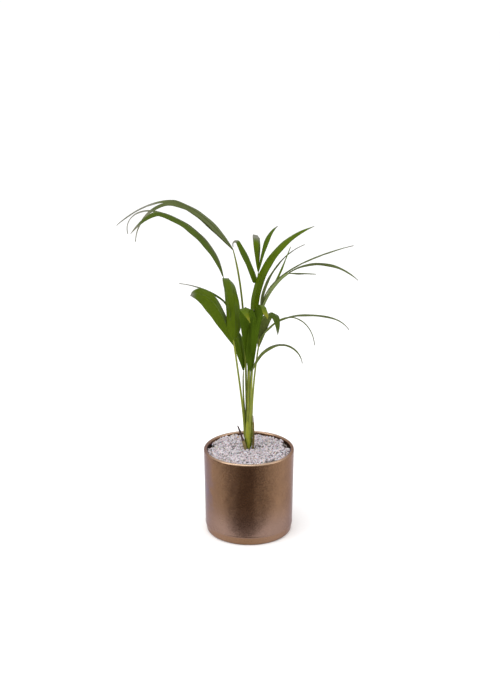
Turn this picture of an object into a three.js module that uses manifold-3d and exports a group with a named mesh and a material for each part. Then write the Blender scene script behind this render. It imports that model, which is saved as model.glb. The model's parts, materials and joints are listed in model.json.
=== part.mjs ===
// Young potted areca palm: four seedlings in one clump, in a glazed pot topped with white gravel.
// Millimetres, +Z up. The origin is the centre of the pot's flat underside, and -Y is the front.
import * as THREE from 'three';
import Module from 'manifold-3d';
import { mergeVertices } from 'three/addons/utils/BufferGeometryUtils.js';

// Pot
const POT_HEIGHT = 116.5;
const POT_RIM_RADIUS = 60.2;
const POT_CREASE_RADIUS = 58.7;
const POT_CREASE_HEIGHT = 11;
const POT_FOOT_RADIUS = 57.3;
const POT_FOOT_ROUND = 3;
const POT_WALL = 4.5;
const POT_INSIDE_TAPER = 0.6;
const POT_FLOOR = 6;
const POT_SIDES = 48;
const FOOT_STEPS = 3;
const LIP_STEPS = 6;

// Fill
const CLEAR = 0.3;
const SOIL_TOP = 103;
const SOIL_GAP = 1.2;
const GRAVEL_RADIUS = 53.6;
const GRAVEL_WAVER = 1.2;
const GRAVEL_WAVES = 3;
const GRAVEL_WAVE_TURN = 0.8;
const GRAVEL_DEPTH = 9;
const GRAVEL_MOUND = 0.6;
const GRAVEL_EDGE_DROP = 2;
const GRAVEL_BUMP = 1.4;
const GRAVEL_RINGS = 21;
const GRAVEL_SECTORS = 66;
const GRAVEL_SEED = 7;

// Plant
const STEM_FOOT = SOIL_TOP + CLEAR;
const STEM_TOP = 138;
const STEM_STEPS = 5;
const STEM_SWELL = 0.6;
const POCKET_DEPTH = 1;
const STALK_RADIUS = 1.4;
const STALK_TIP_RADIUS = 1;
const STALK_SIDES = 7;
const STALK_STEP = 14;
const STEM_SIDES = 10;
const LEAF_STEP = 12;
const LEAF_THICKNESS_SHARE = 0.0102;
const LEAF_LEAST_THICKNESS = 1.1;
const LEAF_EDGE_SHARE = 0.6;
const LEAF_ROOT_WIDTH = 2.2;
const LEAF_END_SHARE = 0.07;
const LEAF_FOLD = 20;
const BEND_STEPS = 24;
const MERGE_DISTANCE = 1e-4;
const RANDOM_FACTOR = 16807;
const RANDOM_RANGE = 2147483647;

const LEAF = { color: 0x4c6213, roughness: 0.42, metalness: 0 };
const STALK = { color: 0x8a8a3c, roughness: 0.5, metalness: 0 };
const STEM = { color: 0x77842f, roughness: 0.55, metalness: 0 };
const DRIED = { color: 0x4a3a2c, roughness: 0.8, metalness: 0 };
const GLAZE = { color: 0x6e4c34, roughness: 0.3, metalness: 0.75 };
const GRAVEL = { color: 0xcfc7c6, roughness: 0.75, metalness: 0 };
const SOIL = { color: 0x2c211a, roughness: 0.95, metalness: 0 };

// The four seedling stems, each tapering down into the gravel, and two dried leaf sheaths.
const STEMS = [
  { name: 'stem_left', foot: [-3.0, 6.8], top: [-4.0, 6.5], footRadius: 1.7, topRadius: 2.7 },
  { name: 'stem_front', foot: [-0.6, 2.4], top: [-1.1, 0.8], footRadius: 1.0, topRadius: 3.0 },
  { name: 'stem_right', foot: [1.2, 7.2], top: [1.9, 6.9], footRadius: 1.7, topRadius: 2.7 },
  { name: 'stem_back', foot: [-1.0, 11.4], top: [-1.3, 12.0], footRadius: 1.9, topRadius: 2.8 },
];

// A stalk or leaf sets out along its heading (0 is +X, 90 is away from the front, in degrees) at
// the elevation called rise and bends to the one called fall, late where its ease is high.
// A leaf's tip is the stretch past its bend. Rolls turn the blade about its own line, at its root and at
// its end. Its peak is where along its length it is widest.
const FRONDS = [
  {
    name: 'frond_top_left', petiole: 'petiole_top_left', foot: [-2.7, 11.0], fork: 0.975,
    stalk: { length: 250, rise: 89, fall: 73, ease: 3.2, heading: 212, turn: 2 },
    leaves: [
      { name: 'long', at: 1, width: 9.5, rolls: [-55, 20], peak: 0.25, taper: 1,
        bend: { length: 99, rise: 55, fall: 14, ease: 1.7, heading: 198, turn: -34 },
        tip: { length: 94, fall: -40, ease: 0.4, turn: -15 }, split: true },
      { name: 'hooked', at: 1, width: 12, rolls: [-5, -20], peak: 0.25, taper: 1.5,
        bend: { length: 99, rise: 51, fall: 12, ease: 2.5, heading: 197, turn: -11 },
        tip: { length: 78, fall: -85, ease: 0.7, turn: -28 }, split: true },
    ],
  },
  {
    name: 'frond_left', petiole: 'petiole_left', foot: [-5.4, 6.2], fork: 0.545,
    stalk: { length: 220, rise: 86, fall: 79, ease: 0.4, heading: 216, turn: 4 },
    leaves: [
      { name: 'inner', at: 1, width: 10, rolls: [-50, 0], peak: 0.2, taper: 1,
        bend: { length: 121, rise: 78, fall: 16, ease: 1.0, heading: 191, turn: -4 },
        tip: { length: 59, fall: -107, ease: 1.4, turn: -11 }, split: true },
      { name: 'outer', at: 1, width: 15, rolls: [-30, -30], peak: 0.4, taper: 1,
        bend: { length: 127, rise: 71, fall: 16, ease: 1.2, heading: 203, turn: 3 },
        tip: { length: 44, fall: -50, ease: 0.4, turn: 1 }, split: true },
      { name: 'broad', at: 0.56, width: 25, rolls: [-70, -75], peak: 0.6, taper: 2,
        bend: { length: 113, rise: 68, fall: -11, ease: 2.9, heading: 203, turn: 26 } },
      { name: 'folded', at: 0.57, width: 17.5, rolls: [0, 40], peak: 0.2, taper: 2,
        bend: { length: 91, rise: 105, fall: 17, ease: 1.5, heading: 109, turn: -8 },
        tip: { length: 49, fall: -102, ease: 1.0, turn: -4 } },
    ],
  },
  {
    name: 'frond_low_left', petiole: 'petiole_low_left', foot: [-2.6, 7.0], fork: 0.93,
    stalk: { length: 84, rise: 81, fall: 93, ease: 1.2, heading: 156, turn: -10 },
    leaves: [
      { name: 'side', at: 1, width: 7, rolls: [5, 20], peak: 0.65, taper: 1.5,
        bend: { length: 94, rise: 87, fall: 52, ease: 1.9, heading: 159, turn: 2 },
        tip: { length: 70, fall: 0, ease: 0.5, turn: -1 } },
      { name: 'rear', at: 1, width: 15.5, rolls: [-10, -5], peak: 0.35, taper: 2,
        bend: { length: 112, rise: 84, fall: -49, ease: 1.2, heading: 116, turn: -2 } },
    ],
  },
  {
    name: 'frond_front', petiole: 'petiole_front', foot: [-2.5, 1.6], fork: 0.54,
    stalk: { length: 146, rise: 95, fall: 62, ease: 3.6, heading: 242, turn: 3 },
    leaves: [
      { name: 'drooping', at: 0.56, width: 22, rolls: [20, -5], peak: 0.35, taper: 3,
        bend: { length: 144, rise: 79, fall: -79, ease: 4.0, heading: 234, turn: 58 } },
      { name: 'upright', at: 0.56, width: 13, rolls: [0, 0], peak: 0.4, taper: 2,
        bend: { length: 96, rise: 81, fall: 70, ease: 1.3, heading: 284, turn: 3 } },
    ],
  },
  {
    name: 'frond_centre', petiole: 'petiole_centre', foot: [0.1, 11.0], fork: 0.62,
    stalk: { length: 212, rise: 84, fall: 78, ease: 2.1, heading: 65, turn: 1 },
    leaves: [
      { name: 'right', at: 0.64, width: 12, rolls: [45, 15], peak: 0.25, taper: 3.5,
        bend: { length: 173, rise: 96, fall: 9, ease: 1.2, heading: 27, turn: -5 } },
      { name: 'left', at: 0.93, width: 13, rolls: [-15, -10], peak: 0.2, taper: 4,
        bend: { length: 59, rise: 74, fall: 57, ease: 0.9, heading: 170, turn: -9 },
        tip: { length: 16, fall: -120, ease: 0.8, turn: 0 } },
      { name: 'rear', at: 1, width: 10.5, rolls: [40, 40], peak: 0.4, taper: 1.5,
        bend: { length: 56, rise: 80, fall: -15, ease: 3.0, heading: 93, turn: 0 },
        tip: { length: 41, fall: -79, ease: 0.7, turn: 6 } },
      { name: 'short', at: 1, width: 8.5, rolls: [-15, 5], peak: 0.6, taper: 1.5,
        bend: { length: 70, rise: 74, fall: 6, ease: 2.6, heading: 46, turn: 1 } },
    ],
  },
  {
    name: 'frond_right', petiole: 'petiole_right', foot: [0.6, 7.7], fork: 0.7,
    ribRadius: 2,
    stalk: { length: 226, rise: 88, fall: 28, ease: 3.9, heading: 30, turn: -16 },
    leaves: [
      { name: 'low', at: 1, width: 5, rolls: [20, 15], peak: 0.5, taper: 1.5,
        bend: { length: 101, rise: 40, fall: -43, ease: 1.0, heading: -15, turn: -4 } },
      { name: 'stub', at: 1, width: 3.5, rolls: [5, -10], peak: 0.5, taper: 2,
        bend: { length: 50, rise: 14, fall: 7, ease: 0.5, heading: -48, turn: 3 } },
      { name: 'long', at: 0.76, width: 4, rolls: [-5, -25], peak: 0.75, taper: 1,
        bend: { length: 156, rise: 106, fall: 3, ease: 0.4, heading: -32, turn: 66 } },
      { name: 'rear', at: 0.74, width: 4.5, rolls: [25, -35], peak: 0.2, taper: 1,
        bend: { length: 119, rise: 111, fall: 8, ease: 0.5, heading: 50, turn: -9 } },
      { name: 'upright', at: 0.88, width: 4, rolls: [-5, -25], peak: 0.2, taper: 1,
        bend: { length: 59, rise: 53, fall: 63, ease: 2.3, heading: 48, turn: -7 } },
    ],
  },
  {
    name: 'frond_low_right', petiole: 'petiole_low_right', foot: [3.2, 6.0], fork: 0.95,
    stalk: { length: 133, rise: 90, fall: 78, ease: 0.9, heading: -39, turn: -3 },
    leaves: [
      { name: 'curled', at: 1, width: 16, rolls: [-40, 15], peak: 0.2, taper: 2,
        bend: { length: 90, rise: 82, fall: -117, ease: 2.0, heading: -35, turn: -51 } },
      { name: 'long', at: 1, width: 6, rolls: [-10, -15], peak: 0.7, taper: 1.5,
        bend: { length: 75, rise: 61, fall: 1, ease: 0.9, heading: -13, turn: 1 },
        tip: { length: 58, fall: -58, ease: 2.1, turn: 0 }, split: true },
      { name: 'slim', at: 1, width: 3.5, rolls: [-15, -45], peak: 0.2, taper: 1,
        bend: { length: 120, rise: 51, fall: -86, ease: 1.9, heading: -36, turn: -14 } },
    ],
  },
  {
    name: 'frond_low', petiole: 'petiole_low', foot: [0.3, 0.0], fork: 0.93,
    stalk: { length: 88, rise: 84, fall: 87, ease: 1.2, heading: -56, turn: -7 },
    leaves: [
      { name: 'arching', at: 1, width: 8.5, rolls: [-5, -30], peak: 0.45, taper: 1.5,
        bend: { length: 68, rise: 70, fall: 11, ease: 1.3, heading: -39, turn: 2 },
        tip: { length: 43, fall: -84, ease: 1.3, turn: 1 }, split: true },
      { name: 'drooping', at: 1, width: 14, rolls: [-15, -50], peak: 0.45, taper: 3.5,
        bend: { length: 148, rise: 81, fall: -62, ease: 3.4, heading: -47, turn: -43 } },
    ],
  },
  {
    name: 'frond_rear', petiole: 'petiole_rear', foot: [-1.3, 13.7], fork: 0.95,
    stalk: { length: 112, rise: 90, fall: 72, ease: 1.0, heading: 88, turn: 0 },
    leaves: [
      { name: 'left', at: 1, width: 14, rolls: [-10, -10], peak: 0.4, taper: 2,
        bend: { length: 130, rise: 48, fall: -70, ease: 1.2, heading: 92, turn: 4 } },
      { name: 'right', at: 1, width: 14, rolls: [10, 10], peak: 0.4, taper: 2,
        bend: { length: 112, rise: 48, fall: -75, ease: 1.2, heading: 80, turn: -4 } },
    ],
  },
];

const DRIED_SHEATHS = [
  { name: 'dried_sheath_left', foot: [-2.4, -0.6], radii: [2.0, 0.7],
    bend: { length: 43, rise: 80, fall: 68, ease: 1.0, heading: 180, turn: 0 } },
  { name: 'dried_sheath_right', foot: [4.6, 2.6], radii: [1.7, 0.7],
    bend: { length: 57, rise: 86, fall: 94, ease: 1.5, heading: 10, turn: 0 } },
];

const wasm = await Module();
wasm.setup();

// Booleans: a closed geometry becomes a solid, and a solid gives its geometry back
function toSolid(geometry) {
  const bare = geometry.clone();
  bare.deleteAttribute('normal');
  bare.deleteAttribute('uv');
  const merged = mergeVertices(bare, MERGE_DISTANCE);
  return new wasm.Manifold(new wasm.Mesh({
    numProp: 3,
    vertProperties: new Float32Array(merged.attributes.position.array),
    triVerts: new Uint32Array(merged.index.array),
  }));
}

function toGeometry(solid) {
  const mesh = solid.getMesh();
  const geometry = new THREE.BufferGeometry();
  geometry.setAttribute('position', new THREE.BufferAttribute(mesh.vertProperties, 3));
  geometry.setIndex(new THREE.BufferAttribute(mesh.triVerts, 1));
  geometry.computeVertexNormals();
  return geometry;
}

function fuse(geometries) {
  return toGeometry(geometries.map(toSolid).reduce((whole, next) => whole.add(next)));
}

// Path of a stalk or leaf: frames at even steps along each of its stages
function trace(start, bend, tip) {
  const frames = [];
  let point = start.clone();
  let travelled = 0;
  let rise = bend.rise;
  let heading = bend.heading;
  for (const stage of tip ? [bend, tip] : [bend]) {
    const step = stage.length / BEND_STEPS;
    const elevationAt = (share) => rise + (stage.fall - rise) * share ** stage.ease;
    const headingAt = (share) => heading + stage.turn * share;
    for (let i = frames.length ? 1 : 0; i <= BEND_STEPS; i++) {
      if (i > 0) {
        const middle = (i - 0.5) / BEND_STEPS;
        point = point.clone().addScaledVector(direction(elevationAt(middle), headingAt(middle)), step);
        travelled += step;
      }
      const share = i / BEND_STEPS;
      frames.push({ point, travelled, elevation: elevationAt(share), heading: headingAt(share) });
    }
    rise = stage.fall;
    heading += stage.turn;
  }
  return frames;
}

function direction(elevation, heading) {
  const up = THREE.MathUtils.degToRad(elevation);
  const round = THREE.MathUtils.degToRad(heading);
  return new THREE.Vector3(Math.cos(up) * Math.cos(round), Math.cos(up) * Math.sin(round), Math.sin(up));
}

function frameAt(frames, distance) {
  let i = 0;
  while (i < frames.length - 2 && frames[i + 1].travelled < distance) i++;
  const [a, b] = [frames[i], frames[i + 1]];
  const share = (distance - a.travelled) / (b.travelled - a.travelled);
  return {
    point: a.point.clone().lerp(b.point, share),
    elevation: THREE.MathUtils.lerp(a.elevation, b.elevation, share),
    heading: THREE.MathUtils.lerp(a.heading, b.heading, share),
  };
}

// Closed solid through a row of sections, each a ring of [side, up] points in its own frame
function loft(rings, outline) {
  const positions = rings.flat().flatMap((p) => [p.x, p.y, p.z]);
  const size = outline.length;
  const index = [];
  for (let i = 0; i + 1 < rings.length; i++) {
    for (let j = 0; j < size; j++) {
      const [a, b] = [i * size + j, i * size + (j + 1) % size];
      index.push(a, b, b + size, a, b + size, a + size);
    }
  }
  const last = (rings.length - 1) * size;
  for (const [a, b, c] of THREE.ShapeUtils.triangulateShape(outline, [])) {
    index.push(a, c, b, last + a, last + b, last + c);
  }
  const geometry = new THREE.BufferGeometry();
  geometry.setAttribute('position', new THREE.Float32BufferAttribute(positions, 3));
  geometry.setIndex(index);
  geometry.computeVertexNormals();
  return geometry;
}

function ringAt(frame, outline, roll) {
  const along = direction(frame.elevation, frame.heading);
  const side = direction(0, frame.heading + 90).applyAxisAngle(along, THREE.MathUtils.degToRad(roll));
  const up = along.clone().cross(side);
  return outline.map((p) => frame.point.clone().addScaledVector(side, p.x).addScaledVector(up, p.y));
}

// Round tapering limb along a path, cut level at its foot where it stands on something
function limb(frames, from, to, radii, sides, step, level) {
  const count = Math.max(2, Math.round((to - from) / step));
  const whole = frames[frames.length - 1].travelled;
  const circle = (radius) => new THREE.EllipseCurve(0, 0, radius, radius).getPoints(sides).slice(0, sides);
  const rings = [];
  for (let i = 0; i <= count; i++) {
    const distance = THREE.MathUtils.lerp(from, to, i / count);
    const frame = frameAt(frames, distance);
    if (level && i === 0) frame.elevation = 90;
    rings.push(ringAt(frame, circle(THREE.MathUtils.lerp(...radii, distance / whole)), 0));
  }
  return loft(rings, circle(1));
}

// Share of a leaf's full width at a share of its length: it swells from its root up to its peak, then
// narrows to its end, early where its taper is low
function breadth(share, { peak, taper }) {
  const swell = Math.sin(Math.min(1, share / peak) * Math.PI / 2);
  const past = Math.max(0, share - peak) / (1 - peak);
  return swell * (1 - past ** taper * (1 - LEAF_END_SHARE));
}

// Folded blade: two halves that drop from a raised midrib, on a closed section of six points
function bladeOutline(width, thickness) {
  const half = width / 2;
  const drop = half * Math.tan(THREE.MathUtils.degToRad(LEAF_FOLD));
  const edge = thickness * LEAF_EDGE_SHARE / 2;
  const middle = thickness / 2;
  return [
    [half, -drop - edge], [half, -drop + edge], [0, middle],
    [-half, -drop + edge], [-half, -drop - edge], [0, -middle],
  ].map(([x, y]) => new THREE.Vector2(x, y));
}

function blade(frames, leaf, from, to) {
  const whole = frames[frames.length - 1].travelled;
  const thickness = Math.max(LEAF_LEAST_THICKNESS, whole * LEAF_THICKNESS_SHARE);
  const count = Math.max(3, Math.round((to - from) / LEAF_STEP));
  const rings = [];
  for (let i = 0; i <= count; i++) {
    const distance = THREE.MathUtils.lerp(from, to, i / count);
    const share = distance / whole;
    const width = THREE.MathUtils.lerp(LEAF_ROOT_WIDTH * (1 - share), leaf.width, breadth(share, leaf));
    const outline = bladeOutline(width, thickness);
    rings.push(ringAt(frameAt(frames, distance), outline, THREE.MathUtils.lerp(...leaf.rolls, share)));
  }
  return loft(rings, bladeOutline(leaf.width, thickness));
}

// Scene graph
const palm = new THREE.Group();

function addPart(name, geometry, look) {
  const mesh = new THREE.Mesh(geometry, new THREE.MeshStandardMaterial({ ...look, side: THREE.FrontSide }));
  mesh.name = name;
  palm.add(mesh);
  return mesh;
}

// Pot: a straight cup with a rounded lip and a foot band that leans in below a crease, on a flat underside
function potProfile() {
  const inner = POT_RIM_RADIUS - POT_WALL;
  const lip = POT_WALL / 2;
  const points = [new THREE.Vector2(0, 0)];
  const foot = new THREE.EllipseCurve(
    POT_FOOT_RADIUS - POT_FOOT_ROUND, POT_FOOT_ROUND, POT_FOOT_ROUND, POT_FOOT_ROUND, -Math.PI / 2, 0);
  points.push(...foot.getPoints(FOOT_STEPS), new THREE.Vector2(POT_CREASE_RADIUS, POT_CREASE_HEIGHT));
  const rim = new THREE.EllipseCurve(POT_RIM_RADIUS - lip, POT_HEIGHT - lip, lip, lip, 0, Math.PI);
  points.push(...rim.getPoints(LIP_STEPS));
  points.push(new THREE.Vector2(inner - POT_INSIDE_TAPER, POT_FLOOR), new THREE.Vector2(0, POT_FLOOR));
  return points;
}

function turned(points) {
  return new THREE.LatheGeometry(points, POT_SIDES).rotateX(Math.PI / 2);
}

addPart('pot', turned(potProfile()), GLAZE);

// Soil fills the pot up to the gravel
const soilRadius = POT_RIM_RADIUS - POT_WALL - SOIL_GAP;
addPart('soil', turned([
  new THREE.Vector2(0, POT_FLOOR + CLEAR),
  new THREE.Vector2(soilRadius, POT_FLOOR + CLEAR),
  new THREE.Vector2(soilRadius, SOIL_TOP),
  new THREE.Vector2(0, SOIL_TOP),
]), SOIL);

// Gravel: a thick bed as rough as the chips that it is heaped from, whose edge wavers inside the wall
function gravelGeometry() {
  let seed = GRAVEL_SEED;
  const random = () => {
    seed = (seed * RANDOM_FACTOR) % RANDOM_RANGE;
    return seed / RANDOM_RANGE;
  };
  const bottom = STEM_FOOT;
  const positions = [0, 0, bottom, 0, 0, bottom + GRAVEL_DEPTH + GRAVEL_MOUND];
  for (let ring = 1; ring <= GRAVEL_RINGS; ring++) {
    const share = ring / GRAVEL_RINGS;
    for (let k = 0; k < GRAVEL_SECTORS; k++) {
      const angle = (k + 0.5 * (ring % 2)) / GRAVEL_SECTORS * 2 * Math.PI;
      const waver = GRAVEL_WAVER * Math.sin(GRAVEL_WAVES * angle + GRAVEL_WAVE_TURN);
      const radius = share * (GRAVEL_RADIUS + waver);
      const edge = share === 1 ? GRAVEL_EDGE_DROP : 0;
      const height = GRAVEL_DEPTH + GRAVEL_MOUND * (1 - share ** 2) - edge + GRAVEL_BUMP * (random() - 0.5) * 2;
      positions.push(radius * Math.cos(angle), radius * Math.sin(angle), bottom + height);
    }
  }
  const rimStart = 2 + (GRAVEL_RINGS - 1) * GRAVEL_SECTORS;
  const floorStart = positions.length / 3;
  for (let k = 0; k < GRAVEL_SECTORS; k++) {
    const at = (rimStart + k) * 3;
    positions.push(positions[at], positions[at + 1], bottom);
  }
  const index = [];
  for (let k = 0; k < GRAVEL_SECTORS; k++) {
    const next = (k + 1) % GRAVEL_SECTORS;
    index.push(1, 2 + k, 2 + next);
    for (let ring = 0; ring + 1 < GRAVEL_RINGS; ring++) {
      const inner = 2 + ring * GRAVEL_SECTORS;
      const outer = inner + GRAVEL_SECTORS;
      index.push(inner + k, outer + k, outer + next, inner + k, outer + next, inner + next);
    }
    index.push(rimStart + k, floorStart + k, floorStart + next, rimStart + k, floorStart + next, rimStart + next);
    index.push(0, floorStart + next, floorStart + k);
  }
  const geometry = new THREE.BufferGeometry();
  geometry.setAttribute('position', new THREE.Float32BufferAttribute(positions, 3));
  geometry.setIndex(index);
  geometry.computeVertexNormals();
  return geometry;
}

// Stems and dried sheaths stand on the soil, each in its own pocket in the gravel
function stemGeometry(stem, extra, deeper) {
  const foot = new THREE.Vector3(...stem.foot, STEM_FOOT - deeper);
  const top = new THREE.Vector3(...stem.top, STEM_TOP);
  const outline = new THREE.EllipseCurve(0, 0, 1, 1).getPoints(STEM_SIDES).slice(0, STEM_SIDES);
  const rings = [];
  for (let i = 0; i <= STEM_STEPS; i++) {
    const share = i / STEM_STEPS;
    const radius = THREE.MathUtils.lerp(stem.footRadius, stem.topRadius, share ** STEM_SWELL) + extra;
    const centre = foot.clone().lerp(top, share);
    rings.push(outline.map((p) => new THREE.Vector3(centre.x + radius * p.x, centre.y + radius * p.y, centre.z)));
  }
  return loft(rings, outline);
}

function sheathGeometry(sheath, extra, deeper) {
  const frames = trace(new THREE.Vector3(...sheath.foot, STEM_FOOT - deeper), sheath.bend);
  const radii = sheath.radii.map((radius) => radius + extra);
  return limb(frames, 0, sheath.bend.length, radii, STALK_SIDES, STALK_STEP / 2, true);
}

let gravel = toSolid(gravelGeometry());
for (const stem of STEMS) {
  addPart(stem.name, stemGeometry(stem, 0, 0), STEM);
  gravel = gravel.subtract(toSolid(stemGeometry(stem, CLEAR, POCKET_DEPTH)));
}
for (const sheath of DRIED_SHEATHS) {
  addPart(sheath.name, sheathGeometry(sheath, 0, 0), DRIED);
  gravel = gravel.subtract(toSolid(sheathGeometry(sheath, CLEAR, POCKET_DEPTH)));
}
addPart('gravel', toGeometry(gravel), GRAVEL);

// Fronds: a petiole up to the first leaf, then the rachis with its leaves fused on
for (const frond of FRONDS) {
  const start = new THREE.Vector3(...frond.foot, STEM_TOP + CLEAR);
  const frames = trace(start, frond.stalk);
  const radii = [STALK_RADIUS, frond.ribRadius ?? STALK_TIP_RADIUS];
  const { length } = frond.stalk;
  const fork = frond.fork * length;
  addPart(frond.petiole, limb(frames, 0, fork - CLEAR, radii, STALK_SIDES, STALK_STEP, true), STALK);

  const pieces = [limb(frames, fork, length, radii, STALK_SIDES, STALK_STEP, false)];
  for (const leaf of frond.leaves) {
    const line = trace(frameAt(frames, leaf.at * length).point, leaf.bend, leaf.tip);
    const whole = line[line.length - 1].travelled;
    const bend = leaf.split ? leaf.bend.length : whole;
    pieces.push(blade(line, leaf, 0, bend));
    if (leaf.split) addPart(`${frond.name}_${leaf.name}_tip`, blade(line, leaf, bend + CLEAR, whole), LEAF);
  }
  addPart(frond.name, fuse(pieces), LEAF);
}

export default palm;
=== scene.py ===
import json
import math
from collections import namedtuple

import bmesh
import bpy
import numpy as np
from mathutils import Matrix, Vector

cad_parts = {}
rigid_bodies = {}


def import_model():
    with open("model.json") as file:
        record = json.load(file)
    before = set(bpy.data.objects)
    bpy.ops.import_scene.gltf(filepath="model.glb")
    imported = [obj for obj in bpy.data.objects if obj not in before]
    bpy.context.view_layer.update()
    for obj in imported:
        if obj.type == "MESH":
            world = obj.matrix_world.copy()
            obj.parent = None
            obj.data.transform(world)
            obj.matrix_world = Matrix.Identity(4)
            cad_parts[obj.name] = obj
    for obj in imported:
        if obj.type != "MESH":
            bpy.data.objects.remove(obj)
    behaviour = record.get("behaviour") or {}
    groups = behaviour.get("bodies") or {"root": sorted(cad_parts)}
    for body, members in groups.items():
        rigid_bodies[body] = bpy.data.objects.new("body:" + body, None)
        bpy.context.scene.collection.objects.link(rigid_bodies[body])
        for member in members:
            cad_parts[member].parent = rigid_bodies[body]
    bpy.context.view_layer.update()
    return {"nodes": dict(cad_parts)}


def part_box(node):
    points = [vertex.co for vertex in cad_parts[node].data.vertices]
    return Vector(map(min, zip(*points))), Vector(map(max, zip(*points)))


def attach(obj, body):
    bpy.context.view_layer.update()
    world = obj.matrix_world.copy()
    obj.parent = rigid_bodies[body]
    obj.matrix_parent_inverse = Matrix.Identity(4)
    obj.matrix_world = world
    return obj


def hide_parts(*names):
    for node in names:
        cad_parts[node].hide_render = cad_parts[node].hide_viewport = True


# Young potted areca palm: four seedlings in one clump, in a bronze-glazed pot topped with white gravel.
# Metres, +Z up, and -Y is the front. The pieces are made in the order in which the real thing is put
# together: pot, soil, gravel, stems, stalks and leaves, then the dried sheaths and the studio.
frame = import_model()
MM = 0.001


# Pot. A slip-cast stoneware cup with an upright wall, a soft round lip, and a foot band that leans in
# below a crease. Its bronze lustre glaze, inside and out, beads at the crease. Painted into its colour
# are a violet reflection at the left, light low on the wall, shade in the front of the foot band, and a
# highlight on the lip.
POT_SIDES = 192
POT_WALL = 4.5 * MM
POT_FLOOR = 6 * MM
POT_CREASE_HEIGHT = 11 * MM
POT_CREASE_IN = 1.5 * MM
POT_FOOT_IN = 2.9 * MM
POT_FOOT_ROUND = 3 * MM
POT_BEAD = 0.22 * MM
POT_BEAD_WIDTH = 0.7 * MM
POT_WAVER = 0.2 * MM
WAVER_RADIUS = 60 * MM
ARC_STEPS = 10
BAND_STEPS = 8
WALL_STEPS = 90
GLAZE_BRONZE = (0.225, 0.126, 0.068, 1)
GLAZE_BROWN = (0.165, 0.090, 0.051, 1)
GLAZE_BAND = (0.31, 0.19, 0.128, 1)
# Painted light colour, for the pale glow low on the wall.
FOOT_LIGHT_PAINT = (0.29, 0.192, 0.158, 1)
# Painted reflection colour, for the violet at the left of the wall.
VIOLET_REFLECTION_PAINT = (0.150, 0.115, 0.150, 1)
GLAZE_PALE = (0.55, 0.46, 0.40, 1)
# Painted highlight colour, for the lip.
LIP_HIGHLIGHT_PAINT = (0.60, 0.44, 0.32, 1)
GLAZE_EDGE = (0.62, 0.56, 0.60, 1)
BAND_EDGE = (10.5 * MM, 11.5 * MM)
# Heights of the painted lip highlight.
LIP_HIGHLIGHT_EDGE = (114.6 * MM, 116 * MM)
# Reach across, and height, of the painted violet reflection.
VIOLET_REFLECTION_EDGE = (-58 * MM, -47 * MM)
VIOLET_REFLECTION_HEIGHT = 65 * MM
# Height of the painted light low on the wall.
FOOT_LIGHT_HEIGHT = 17 * MM


def plug(tree, node, key, value):
    """Sets an input of a node, by its number or its name, to a constant or to what another node gives."""
    socket = node.inputs[key] if isinstance(key, int) else next(
        s for s in node.inputs if s.name == key and not s.is_unavailable)
    if isinstance(value, Field):
        value = value.socket
    if isinstance(value, bpy.types.NodeSocket):
        tree.links.new(value, socket)
    else:
        socket.default_value = value


def put(tree, kind, values=None, **settings):
    """Adds a node with these settings and inputs."""
    node = tree.nodes.new(kind)
    for key, value in settings.items():
        setattr(node, key, value)
    for key, value in (values or {}).items():
        plug(tree, node, key, value)
    return node


def made(tree, kind, output="Geometry", **values):
    """Adds a geometry node with inputs by name, where _ stands for a space, and gives what it makes."""
    return put(tree, "GeometryNode" + kind, {
        key.replace("_", " "): value for key, value in values.items()}).outputs[output]


def field_of(tree, kind, values=None, output=0, **settings):
    """Adds a node and gives one of its outputs as a field."""
    return Field(tree, put(tree, kind, values, **settings).outputs[output])


class Field:
    """What a node gives, which can be added, scaled and so on as a number or a vector."""

    def __init__(self, tree, socket):
        self.tree = tree
        self.socket = socket
        self.is_vector = socket.type == "VECTOR"

    def _maths(self, operation, *others):
        return field_of(self.tree, "ShaderNodeMath", dict(enumerate((self, *others))), operation=operation)

    def _vector(self, operation, values, output="Vector"):
        return field_of(self.tree, "ShaderNodeVectorMath", {0: self, **values}, output, operation=operation)

    def __add__(self, other):
        return self._vector("ADD", {1: other}) if self.is_vector else self._maths("ADD", other)

    def __sub__(self, other):
        return self._vector("SUBTRACT", {1: other}) if self.is_vector else self._maths("SUBTRACT", other)

    def __mul__(self, other):
        return self._vector("SCALE", {"Scale": other}) if self.is_vector else self._maths("MULTIPLY", other)

    def __truediv__(self, other):
        return self._maths("DIVIDE", other)

    def __pow__(self, other):
        return self._maths("POWER", other)

    def sine(self):
        return self._maths("SINE")

    def cosine(self):
        return self._maths("COSINE")

    def size(self):
        return self._maths("ABSOLUTE")

    def below(self, limit):
        return self._maths("LESS_THAN", limit)

    def above(self, limit):
        return self._maths("GREATER_THAN", limit)

    def times(self, other):
        """A vector times another, part by part."""
        return self._vector("MULTIPLY", {1: other})

    def length(self):
        return self._vector("LENGTH", {}, "Value")

    def bell(self, width):
        """1 where the value is 0, falling off on both sides in about this width."""
        return field_of(self.tree, "ShaderNodeMath", {
            0: math.e, 1: (self / width) ** 2 * -1.0}, operation="POWER")


def new_tree(name, **inputs):
    """A Geometry Nodes tree with a geometry in and out and named number inputs."""
    tree = bpy.data.node_groups.new(name, "GeometryNodeTree")
    tree.interface.new_socket("Geometry", in_out="INPUT", socket_type="NodeSocketGeometry")
    for label, value in inputs.items():
        kind = "NodeSocketInt" if isinstance(value, int) else "NodeSocketFloat"
        tree.interface.new_socket(label, in_out="INPUT", socket_type=kind).default_value = value
    tree.interface.new_socket("Geometry", in_out="OUTPUT", socket_type="NodeSocketGeometry")
    start = tree.nodes.new("NodeGroupInput")
    fields = {label: Field(tree, start.outputs[label]) for label in inputs}
    return tree, start.outputs["Geometry"], fields


def stored(tree, geometry, name, value, kind="FLOAT", domain="POINT"):
    """Keeps a value on the geometry under a name."""
    return put(tree, "GeometryNodeStoreNamedAttribute", {
        "Geometry": geometry, "Name": name, "Value": value}, data_type=kind, domain=domain).outputs[0]


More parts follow.
